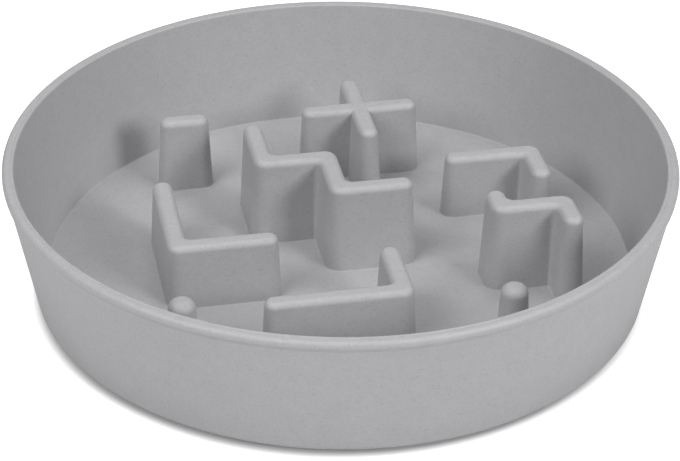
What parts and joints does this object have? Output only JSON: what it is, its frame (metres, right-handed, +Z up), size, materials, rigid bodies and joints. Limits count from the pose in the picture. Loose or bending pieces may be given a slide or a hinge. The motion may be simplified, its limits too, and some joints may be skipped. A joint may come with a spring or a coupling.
{
  "type": "slow feeder bowl",
  "caption": "Round, gently flared feeding bowl whose floor carries a maze of raised walls and pegs that food lies between; it stands on rubber pads.",
  "frame": {"origin": "middle of the bowl on the surface that its pads stand on", "axes": "+Z up out of the mouth; the maze's long walls run along X and Y, and -Y is the side that the picture shows in front"},
  "size_m": [0.25, 0.25, 0.0526],
  "materials": {
    "speckled_grey_plastic": "matte, light grey with a fine fibre speckle",
    "rubber_pad": "matte dark grey"
  },
  "bodies": {
    "root": {"bowl_shell": "speckled_grey_plastic", "stair_ridge": "speckled_grey_plastic", "cross_ridge": "speckled_grey_plastic", "back_left_bar": "speckled_grey_plastic", "left_corner_ridge": "speckled_grey_plastic", "front_corner_ridge": "speckled_grey_plastic", "right_corner_ridge": "speckled_grey_plastic", "right_step_ridge": "speckled_grey_plastic", "left_peg": "speckled_grey_plastic", "right_peg": "speckled_grey_plastic", "foot_pad_1": "rubber_pad", "foot_pad_2": "rubber_pad", "foot_pad_3": "rubber_pad", "foot_pad_4": "rubber_pad", "foot_pad_5": "rubber_pad", "foot_pad_6": "rubber_pad"}
  },
  "joints": []
}
